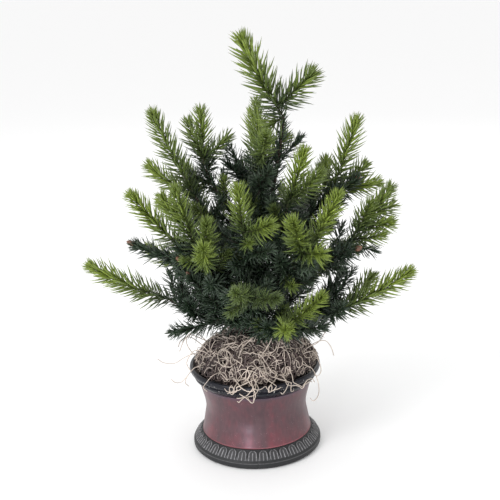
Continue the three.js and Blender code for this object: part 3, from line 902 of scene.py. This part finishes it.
# strands that leave the mound, as points in mm
STRAYS = (
    [(-58, -20, 122), (-70, -24, 130), (-84, -30, 128), (-97, -26, 119), (-110, -28, 121), (-117, -30, 127)],
    [(-60, -30, 118), (-73, -36, 116), (-83, -40, 106), (-90, -38, 99), (-97, -42, 101), (-101, -44, 106)],
    [(-55, -12, 126), (-66, -18, 141), (-78, -20, 150), (-88, -22, 147), (-92, -24, 139)],
    [(-62, -34, 116), (-72, -44, 120), (-80, -50, 113), (-84, -48, 103), (-80, -44, 96)],
    [(58, -36, 116), (68, -42, 113), (74, -46, 101), (76, -48, 88), (74, -48, 78), (69, -50, 74),
     (65, -50, 78)],
    [(56, -20, 122), (70, -26, 128), (77, -30, 118), (80, -30, 104), (74, -36, 100), (66, -36, 108)],
    [(60, -14, 124), (74, -18, 136), (86, -22, 140), (93, -24, 132), (96, -26, 122)],
    [(64, -8, 126), (78, -12, 134), (88, -14, 150), (92, -16, 162)],
    [(-20, -40, 132), (-12, -34, 142), (-2, -36, 152), (8, -34, 160), (14, -38, 166), (20, -34, 160),
     (16, -30, 152)],
    [(6, -44, 130), (16, -40, 142), (22, -34, 154), (16, -28, 162), (6, -30, 158), (0, -36, 148)],
    [(26, -36, 130), (30, -30, 144), (24, -26, 156), (14, -24, 164), (4, -28, 170)],
    [(-60, 30, 124), (-70, 24, 132), (-80, 18, 138), (-84, 8, 134), (-80, 0, 126), (-72, -4, 118)],
    [(-56, 10, 128), (-66, 4, 142), (-76, 6, 146), (-86, 0, 138), (-92, -6, 126)],
    [(-50, -30, 126), (-62, -32, 136), (-74, -28, 134), (-82, -32, 122), (-78, -38, 114)],
    [(-40, -50, 116), (-50, -60, 116), (-58, -62, 108), (-62, -58, 100), (-58, -56, 94)],
)


# tangles that hang over the rim: bearing in degrees, drop below the lip and spread in mm, strands
TANGLES = [(-91, 17, 4, 5), (-98, 8, 8, 3), (-61, 9, 4, 4), (-76, 5, 8, 2), (70, 13, 6, 4), (128, 9, 6, 3)]


class Mound:
    """A heap of moss. It lies on the rim at the sides and behind, and stays inside it in front."""

    def __init__(self):
        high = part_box("moss_mound")[1]
        self.radius, self.top = high.x - 4 * MM, high.z
        self.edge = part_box("pot_rim")[1].z - 3 * MM

    def limit(self, bearing):
        """How far out the heap spreads."""
        side = max(abs(math.cos(bearing)) ** 2.6, 0.5 + 0.5 * math.sin(bearing))
        return self.radius + (13 * side + 3 * math.sin(3 * bearing + 1) + 2 * math.sin(7 * bearing)) * MM

    def height(self, reach, bearing):
        share = np.clip(reach / self.limit(bearing), 0, 1)
        return self.edge + (self.top - self.edge) * (1 - share**4)

    def slope(self, reach, bearing):
        limit = self.limit(bearing)
        return -4 * (self.top - self.edge) / limit * np.clip(reach / limit, 0, 1) ** 3


def moss_strand(rng, mound, reach, bearing, looseness):
    """A curly strand that wanders over the mound, with stretches that stand up off it. Its heading is
    turned from the line straight out from the urn's axis."""
    steps, step = int(rng.integers(14, 32)), 2.4 * MM
    heading, bend = rng.uniform(0, TAU), rng.normal(0, 1 / (9 * MM))
    phase, arch = rng.uniform(0, TAU), rng.uniform(0.2, 1.0) * looseness
    base, hops = rng.uniform(-5, 2) * MM, rng.uniform(0.6, 2.4)
    points = []
    for i in range(steps):
        lift = base + arch * abs(math.sin(phase + hops * math.pi * i / steps))
        level = mound.height(reach, bearing) + lift
        points.append((reach * math.cos(bearing), reach * math.sin(bearing), level))
        bend = 0.88 * bend + rng.normal(0, 1 / (15 * MM))
        heading += step * float(np.clip(bend, -1 / (3 * MM), 1 / (3 * MM)))
        if reach > mound.limit(bearing):
            heading += 0.6 * math.remainder(math.pi - heading, TAU)
        elif reach < 9 * MM:
            heading += 0.6 * math.remainder(-heading, TAU)
        turn = step * math.sin(heading) / reach
        reach += step * math.cos(heading) / math.hypot(1, mound.slope(reach, bearing))
        bearing += turn
        heading -= turn
    return smooth_line(points, step)


def hanging_strand(rng, mound, bearing, drop, spread):
    """A strand that comes over the rim's lip and curls outside it."""
    lip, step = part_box("pot_rim")[1], 2.2 * MM
    across, level, out = rng.normal(0, spread), lip.z, 1.5 * MM
    inner = bearing + rng.normal(0, 2 * spread) / lip.x
    points = [(mound.radius - 9 * MM, inner, lip.z), (mound.radius + 3 * MM, inner, lip.z + 4 * MM)]
    heading, bend = rng.normal(-math.pi / 2, 0.5), rng.choice([-1, 1]) * rng.uniform(0.04, 0.17) / MM
    for _ in range(rng.integers(7, 26)):
        points.append((lip.x + out, bearing + across / lip.x, level))
        bend = 0.95 * bend + rng.normal(0, 0.025) / MM
        heading += step * bend
        if level < lip.z - drop:
            heading += 0.5 * math.remainder(math.pi / 2 - heading, TAU)
        elif level > lip.z + 1 * MM:
            heading += 0.5 * math.remainder(-math.pi / 2 - heading, TAU)
        across += step * math.cos(heading)
        level += step * math.sin(heading)
        out = np.clip(out + rng.normal(0, 0.8) * MM, 0.8 * MM, 4.5 * MM)
    return smooth_line([(r * math.cos(turn), r * math.sin(turn), z) for r, turn, z in points], 2 * MM)


def make_moss(settings):
    """Matted core in painted shade, loose strands over it, tangles over the rim and strays."""
    mound = Mound()
    rng = np.random.default_rng(MOSS_SEED)
    group = strand_group()
    shade = moss_material("moss_shade", settings.shade, tuple(0.3 * c for c in settings.dusky))
    dusky = moss_material("moss_dusky", tuple(0.45 * c for c in settings.dusky), settings.dusky)
    pale = moss_material("moss_pale", tuple(0.4 * c for c in settings.pale), settings.pale)

    # matted core, its near-black colour a painted shade between the strands
    def lumps(angles, radii, heights):
        waves = ((5, 0.3), (9, 1.7), (17, 4.1), (29, 2.2))
        wave = sum(np.sin(k * angles[None] + phase + 40 * radii / MM / 25) for k, phase in waves)
        outer = np.clip((radii - 8 * MM) / (20 * MM), 0, 1)
        return radii * (1 + 0.006 * wave * outer), heights + 0.9 * MM * wave * outer

    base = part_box("moss_mound")[0].z
    front = -math.pi / 2
    dome = [(r, mound.height(r, front) - 8 * MM) for r in np.linspace(mound.radius - 6 * MM, 7 * MM, 24)]
    outline = [(7 * MM, base), (57 * MM, base), (57.5 * MM, base + 4 * MM), *dome]
    shaped("moss_core", revolved(outline, 120, lumps), shade, TRUNK_BODY, "moss", "moss_mound")

    lines = {"moss_strands_dusky": [], "moss_strands_pale": []}
    for i in range(settings.strands):
        bearing = rng.uniform(0, TAU)
        reach = mound.limit(bearing) * math.sqrt(rng.uniform(0.03, 1.0))
        name, looseness = ("moss_strands_dusky", 6 * MM) if i % 5 < 3 else ("moss_strands_pale", 10 * MM)
        lines[name].append(moss_strand(rng, mound, reach, bearing, looseness))
    for bearing, drop, spread, count in TANGLES:
        for _ in range(count):
            strand = hanging_strand(rng, mound, math.radians(bearing), drop * MM, spread * MM)
            lines["moss_strands_pale"].append(strand)
    for stray in STRAYS:
        lines["moss_strands_pale"].append(smooth_line(np.array(stray) * MM, 2 * MM))
    for name, material in (("moss_strands_dusky", dusky), ("moss_strands_pale", pale)):
        inputs = {"Thickness": settings.thickness, "Material": material}
        grown_along(name, lines[name], {}, group, inputs, TRUNK_BODY, "moss")


# ---- trunk, stems and needles ------------------------------------------------------------------

# ends, in mm, of foil twigs that close gaps low down on both sides
FILLING_TWIGS = {
    "low_right": [(88, -26, 200), (98, 4, 204), (124, 2, 222)],
    "mid_right": [(102, -34, 236), (96, 16, 234), (74, -22, 222)],
    "low_left": [(-84, -22, 206), (-90, 20, 204)],
    "mid_left": [(-84, -32, 236), (-88, 16, 238)],
    "upper_back": [(-28, 22, 358), (-14, 24, 350), (-22, 28, 372)],
    "upper_right": [(112, 4, 304), (96, -8, 286)],
    "pot": [(4, 42, 177), (-20, 36, 181), (26, 34, 182)],
    "low_back_left": [(-30, 52, 178)],
    "low_back_right": [(28, 56, 180)],
}
# ends, in mm, of green shoots that fill out a branch
FILLING_TIPS = {
    "mid_right": [(170, 4, 300), (164, -24, 286)],
    "leader": [(26, -4, 402)],
}
# how a branch is dressed, against 1 elsewhere: fresh, the brightness of its needles, below 1 a painted
# # shade; the size of its needles; and how many side shoots and foil twigs it has
DRESSING = {
    "leader": {"fresh": 0.85, "size": 1.25, "shoots": 0, "twigs": 0.15},
    "low_front": {"fresh": 0.45, "size": 0.78},
    "low_front_right": {"fresh": 0.9, "size": 0.9},
    "low_left": {"size": 1.08, "shoots": 0.34},
    "low_right": {"size": 1.05, "shoots": 0.67},
    "front_left": {"fresh": 0.85, "size": 0.95},
    "pot": {"fresh": 0.75, "size": 0.9},
}
# ends, in mm, of twigs that carry small buds
BUDDED_TWIGS = {
    "mid_left": [(-83, -50, 258)],
    "low_front_left": [(-72, -55, 240)],
    "upper_right": [(128, 6, 333)],
}


def dressing(body):
    """A body's row of DRESSING, with 1 for what it doesn't hold."""
    return {"fresh": 1.0, "size": 1.0, "shoots": 1.0, "twigs": 1.0, **DRESSING.get(body, {})}


def tube(line, radius_at, sides):
    """Vertices and faces of a closed tube along a line. radius_at(point's number, angle round it)."""
    tangents = tangents_of(line)
    side = np.cross(tangents[0], [0.3, 0.9, 0.1])
    vertices = []
    for i, (point, tangent) in enumerate(zip(line, tangents)):
        side = side - tangent * side.dot(tangent)
        side /= np.linalg.norm(side)
        over = np.cross(tangent, side)
        for k in range(sides):
            turn = k * TAU / sides
            reach = radius_at(i, turn)
            vertices.append(point + reach * (math.cos(turn) * side + math.sin(turn) * over))
    faces = []
    for i in range(len(line) - 1):
        for k in range(sides):
            j = (k + 1) % sides
            faces.append((i * sides + k, i * sides + j, (i + 1) * sides + j, (i + 1) * sides + k))
    faces.append(tuple(range(sides))[::-1])
    faces.append(tuple((len(line) - 1) * sides + k for k in range(sides)))
    return vertices, faces


def make_trunk():
    """Pole wound with tape: each turn overlaps the one below."""
    line = trunk_line()
    pitch, radius, overlap = 9 * MM, 4.7 * MM, 0.45 * MM

    def reach(i, turn):
        share = (line[i][2] / pitch + turn / TAU) % 1
        return radius + overlap * (1 - share) ** 2

    shaped("trunk_wound", tube(line, reach, 24), bark_material(), TRUNK_BODY, "trunk", "trunk")


def make_stems():
    """Two wires twisted together and taped, one pair for each branch."""
    group = strand_group()
    material = wire_material()
    pitch, offset, step, thickness = 7 * MM, 0.95 * MM, 0.8 * MM, 2.3 * MM
    for body in JOINTS:
        line = smooth_line(stem_line(body)[::4], step)
        tangents = tangents_of(line)
        side = np.cross(tangents, [0, 0, 1.0]) + 1e-6
        side /= np.linalg.norm(side, axis=1)[:, None]
        over = np.cross(tangents, side)
        run = np.arange(len(line)) * step * TAU / pitch
        wires = [
            line + offset * (np.cos(run + phase)[:, None] * side + np.sin(run + phase)[:, None] * over)
            for phase in (0, math.pi)
        ]
        inputs = {"Thickness": thickness, "Sides": 6, "Material": material}
        grown_along(body + "_wire", wires, {}, group, inputs, body, "stem", body + "_stem")


def spray_values(line, rng, size=1.0, painted_light_level=1.0, dark=False):
    """along, reach and tone for the points of one shoot. A dark one is foil, all of one tone."""
    along = np.linspace(0, 1, len(line))
    reach = size * np.clip(0.8 + 1.6 * along, 0, 1) * np.clip(1 - 1.9 * (along - 0.74), 0, 1)
    reach *= 0.88 + 0.22 * min(1, len(line) * np.linalg.norm(line[1] - line[0]) / (80 * MM))
    # painted shade: a level below 1 darkens the shoot's needles
    fresh = painted_light_level * rng.uniform(0.62, 1.0)
    tone = 0.1 + (fresh - 0.1) * np.clip(along * 1.7 - 0.1, 0, 1) ** 0.7
    if dark:
        # foil: a random share of painted highlight, growing towards the shoot's end
        tone = rng.uniform(0.1, 0.5) + 0.2 * along
    return {"along": along, "reach": reach, "tone": tone}


def with_crowns(lines, values, share=0.14):
    """Each shoot with its last stretch repeated, so that its end is a tuft."""
    more, extra = list(lines), {title: list(parts) for title, parts in values.items()}
    for number, line in enumerate(lines):
        count = max(3, round(len(line) * share))
        for _ in range(2):
            more.append(line[-count:])
            for title, parts in values.items():
                extra[title].append(parts[number][-count:])
    return more, extra


def carrier_of(body):
    """The line that a body's shoots grow from."""
    if body in JOINTS:
        return stem_line(body)
    return np.array([point for point in trunk_line() if point[2] > TRUNK_NEEDLES])


def body_sprays(body, kind):
    """Lines of every shoot of a branch whose node name holds the kind."""
    carrier = carrier_of(body)
    return [line for node in BODIES[body] if kind in node for line in shoots_of(node, carrier)]


def merged(parts):
    """One dictionary of lists from a list of dictionaries."""
    return {title: [part[title] for part in parts] for title in parts[0]}


def make_tips(settings):
    """Moulded needles of each body that carries tips, with its small green side shoots."""
    group = needle_group()
    options = {
        "Spacing": settings.spacing, "Length": settings.length, "Width": settings.width, "Bluntness": 0.3,
        "Root Angle": settings.root_angle, "Tip Angle": settings.tip_angle,
        "Needle Material": needle_material(settings), "Rod Material": rod_material(),
    }
    for number, body in enumerate(BODIES):
        nodes = [node for node in BODIES[body] if "_tip" in node]
        if not nodes:
            continue
        rng = np.random.default_rng(TIP_NEEDLES_SEED + number)
        lines = body_sprays(body, "_tip")
        look = dressing(body)
        # the branch's painted shade, kept under the key fresh
        painted_light_level, size = look["fresh"], look["size"]
        values = [spray_values(line, rng, size, painted_light_level) for line in lines]
        carrier = carrier_of(body)
        small = side_shoots(carrier, rng, round(look["shoots"] * settings.side_shoots), 42 * MM, 0.4)
        # side shoots are smaller and carry more painted shade
        values += [spray_values(line, rng, 0.7, 0.7 * painted_light_level) for line in small]
        fill = [shoot_to(lines[0], np.array(end) * MM) for end in FILLING_TIPS.get(body, ())]
        values = merged(values + [spray_values(line, rng, size, painted_light_level) for line in fill])
        lines, values = with_crowns(lines + small + fill, values)
        inputs = {**options, "Seed": number}
        grown_along(body + "_needles", lines, values, group, inputs, body, "tip", *nodes)


def make_foil(settings):
    """Foil needles round each carrier, on its side shoots and filling twigs, and on whole twigs."""
    group = needle_group()
    foil, wire = foil_material(settings), wire_material()
    options = {
        "Spacing": settings.spacing, "Length": settings.length, "Width": settings.width, "Flatness": 0.3,
        "Bluntness": 0.95, "Curl": 0.05, "Root Angle": 1.15, "Tip Angle": 0.75, "Scatter": 0.35,
        "Rod Radius": 0.7 * MM, "Needle Material": foil, "Rod Material": wire,
    }
    for number, body in enumerate(BODIES):
        rng = np.random.default_rng(FOIL_LINES_SEED + number)
        carrier = carrier_of(body)
        bare = body_sprays(body, "_twig") + [
            shoot_to(carrier, np.array(end) * MM) for end in BUDDED_TWIGS.get(body, ())
        ]
        lines = [carrier[len(carrier) // 8 :]]
        # the trunk has three branches' worth of twigs, and a high branch fewer and shorter ones
        count = settings.twigs * dressing(body)["twigs"] * (1 if body in JOINTS else 3)
        high = np.clip((carrier[:, 2].mean() - 200 * MM) / (200 * MM), 0, 1)
        if body in JOINTS:
            count *= 1 - 0.65 * high
        lines += side_shoots(carrier, rng, round(count), (52 - 20 * high) * MM, 0.15)
        lines += [shoot_to(carrier, np.array(end) * MM) for end in FILLING_TWIGS.get(body, ())]
        values = [spray_values(line, rng, dark=True) for line in lines]
        if bare:
            ends = merged([spray_values(line, rng, 1.15, dark=True) for line in bare])
            bare, ends = with_crowns(bare, ends)
            values += [{title: ends[title][i] for title in ends} for i in range(len(bare))]
        lines += bare
        inputs = {**options, "Seed": FOIL_NEEDLES_SEED + number}
        twigs = [node for node in BODIES[body] if "_twig" in node]
        grown_along(body + "_foil", lines, merged(values), group, inputs, body, "twig", *twigs)


def make_bud(name, body, root, end, radius, material, *nodes):
    """Brown bud of overlapping scales."""
    sections = 26
    line = np.linspace(root, end, sections)

    def reach(i, turn):
        share = i / (sections - 1)
        plump = radius * math.sin(math.pi * min(1, 0.08 + 0.9 * share)) ** 0.7
        scales = 0.22 * abs(math.sin(3 * turn + 9 * share))
        return max(0.1 * MM, plump * (1 - scales * (share * 5 % 1)))

    shaped(name, tube(line, reach, 24), material, body, "bud", *nodes)


def make_buds():
    """One bud for each packed bud, and a smaller one on each budded twig."""
    material = bud_material()
    for body, nodes in BODIES.items():
        for node in nodes:
            if node.endswith("_bud"):
                corners = unique_points(node)
                away = np.linalg.norm(corners - np.array(JOINTS[body]["pos_m"]), axis=1)
                end, middle = corners[away.argmax()], corners.mean(0)
                make_bud(node + "_scaled", body, 2 * middle - end, end, 3.4 * MM, material, node)
        for number, end in enumerate(BUDDED_TWIGS.get(body, ())):
            line = shoot_to(carrier_of(body), np.array(end) * MM)
            ahead = (line[-1] - line[-3]) / np.linalg.norm(line[-1] - line[-3])
            name = f"{body}_small_bud_{number + 1}"
            make_bud(name, body, line[-1] - 2 * MM * ahead, line[-1] + 6 * MM * ahead, 2.6 * MM, material)


# ---- stage -------------------------------------------------------------------------------------


FLOOR_REACH = 40  # metres from the axis to each edge
MIDDLE = (0, 0, 0.25)
WHITE = (1, 1, 1)
# place and aim in metres, width and height in metres, watts, tint
LIGHTS = {
    "key": ((-1.3, -1.3, 1.4), MIDDLE, (0.8, 1.1), 20, WHITE),
    "fill": ((1.5, -0.9, 0.8), MIDDLE, (1.2, 1.2), 2, WHITE),
    "glint": ((-0.42, -1.40, 0.11), (0, 0, 0.03), (0.06, 0.18), 6.5, (0.84, 0.86, 1.0)),
    "back": ((0.4, 1.6, 1.4), MIDDLE, (1.4, 0.9), 5, WHITE),
}


def soft_light(name, place, aim, size, power, tint):
    """A rectangular light that the camera doesn't see."""
    data = bpy.data.lights.new(name, "AREA")
    data.shape, data.size, data.size_y = "RECTANGLE", size[0], size[1]
    data.energy, data.color = power, tint
    light = bpy.data.objects.new(name, data)
    light.location = place
    light.rotation_euler = (Vector(aim) - Vector(place)).to_track_quat("-Z", "Y").to_euler()
    light.visible_camera = False
    bpy.context.scene.collection.objects.link(light)


def make_stage(settings):
    """Pale floor and surroundings, soft lights and the camera."""
    corners = [(x * FLOOR_REACH, y * FLOOR_REACH, 0) for x, y in ((-1, -1), (1, -1), (1, 1), (-1, 1))]
    floor = new_object(
        "floor", corners, [(0, 1, 2, 3)],
        material=two_tone("pale_floor", settings.floor, settings.floor, 0.9, 3, 6, 0, 0.8),
    )
    world = bpy.data.worlds.new("studio")
    bpy.context.scene.world = world
    world.use_nodes = True
    background = world.node_tree.nodes["Background"]
    background.inputs["Color"].default_value = (1, 1, 1, 1)
    background.inputs["Strength"].default_value = 1.0
    bpy.context.scene.view_settings.view_transform = "Standard"
    for name, light in LIGHTS.items():
        soft_light(name, *light)

    data = bpy.data.cameras.new("camera")
    data.lens, data.sensor_width = settings.lens, 36
    data.clip_start, data.clip_end = 0.01, 100
    camera = bpy.data.objects.new("camera", data)
    camera.location = (-1 * MM, -settings.distance, settings.height)
    level = Euler((math.pi / 2 - settings.tilt, 0, 0)).to_matrix()
    camera.rotation_euler = (level @ Matrix.Rotation(settings.roll, 3, "Z")).to_euler()
    bpy.context.scene.collection.objects.link(camera)
    bpy.context.scene.camera = camera


# ---- operators and panel -----------------------------------------------------------------------


class FIR_OT_urn(bpy.types.Operator):
    """Builds the urn's foot, body and rim, and dresses its filling"""

    bl_idname = "fir.urn"
    bl_label = "Urn"

    def execute(self, context):
        settings = context.scene.fir_pot
        make_foot(settings)
        make_body(settings)
        make_rim(settings)
        dress_filling()
        return {"FINISHED"}


class FIR_OT_moss(bpy.types.Operator):
    """Heaps curly moss on the urn"""

    bl_idname = "fir.moss"
    bl_label = "Moss"

    def execute(self, context):
        make_moss(context.scene.fir_moss)
        return {"FINISHED"}


class FIR_OT_trunk(bpy.types.Operator):
    """Winds the trunk with tape"""

    bl_idname = "fir.trunk"
    bl_label = "Trunk"

    def execute(self, context):
        make_trunk()
        return {"FINISHED"}


class FIR_OT_stems(bpy.types.Operator):
    """Twists the branches' wires"""

    bl_idname = "fir.stems"
    bl_label = "Stems"

    def execute(self, context):
        make_stems()
        return {"FINISHED"}


class FIR_OT_tips(bpy.types.Operator):
    """Grows the moulded needle tips"""

    bl_idname = "fir.tips"
    bl_label = "Needle tips"

    def execute(self, context):
        make_tips(context.scene.fir_needles)
        return {"FINISHED"}


class FIR_OT_foil(bpy.types.Operator):
    """Grows the dark foil needles on stems, twigs and trunk"""

    bl_idname = "fir.foil"
    bl_label = "Foil needles"

    def execute(self, context):
        make_foil(context.scene.fir_foil)
        return {"FINISHED"}


class FIR_OT_buds(bpy.types.Operator):
    """Adds the brown buds"""

    bl_idname = "fir.buds"
    bl_label = "Buds"

    def execute(self, context):
        make_buds()
        return {"FINISHED"}


class FIR_OT_stage(bpy.types.Operator):
    """Sets up the floor, lights and camera"""

    bl_idname = "fir.stage"
    bl_label = "Stage"

    def execute(self, context):
        make_stage(context.scene.fir_stage)
        return {"FINISHED"}


STEPS = (
    FIR_OT_stage, FIR_OT_urn, FIR_OT_moss, FIR_OT_trunk, FIR_OT_stems, FIR_OT_tips, FIR_OT_foil, FIR_OT_buds,
)
GROUPS = {
    "fir_pot": FirPotSettings,
    "fir_moss": FirMossSettings,
    "fir_needles": FirNeedleSettings,
    "fir_foil": FirFoilSettings,
    "fir_stage": FirStageSettings,
}


class FIR_PT_panel(bpy.types.Panel):
    """Lists the fir's settings and steps"""

    bl_idname = "FIR_PT_panel"
    bl_label = "Tabletop Fir"
    bl_space_type = "VIEW_3D"
    bl_region_type = "UI"
    bl_category = "Fir"

    def draw(self, context):
        for name, group in GROUPS.items():
            box = self.layout.box()
            settings = getattr(context.scene, name)
            for prop in group.__annotations__:
                box.prop(settings, prop)
        for step in STEPS:
            self.layout.operator(step.bl_idname)


def register():
    for cls in (*GROUPS.values(), *STEPS, FIR_PT_panel):
        bpy.utils.register_class(cls)
    for name, group in GROUPS.items():
        setattr(bpy.types.Scene, name, PointerProperty(type=group))


def unregister():
    for name in GROUPS:
        delattr(bpy.types.Scene, name)
    for cls in reversed((*GROUPS.values(), *STEPS, FIR_PT_panel)):
        bpy.utils.unregister_class(cls)


def main():
    register()
    for step in STEPS:
        area, name = step.bl_idname.split(".")
        getattr(getattr(bpy.ops, area), name)()


if __name__ == "__main__":
    main()
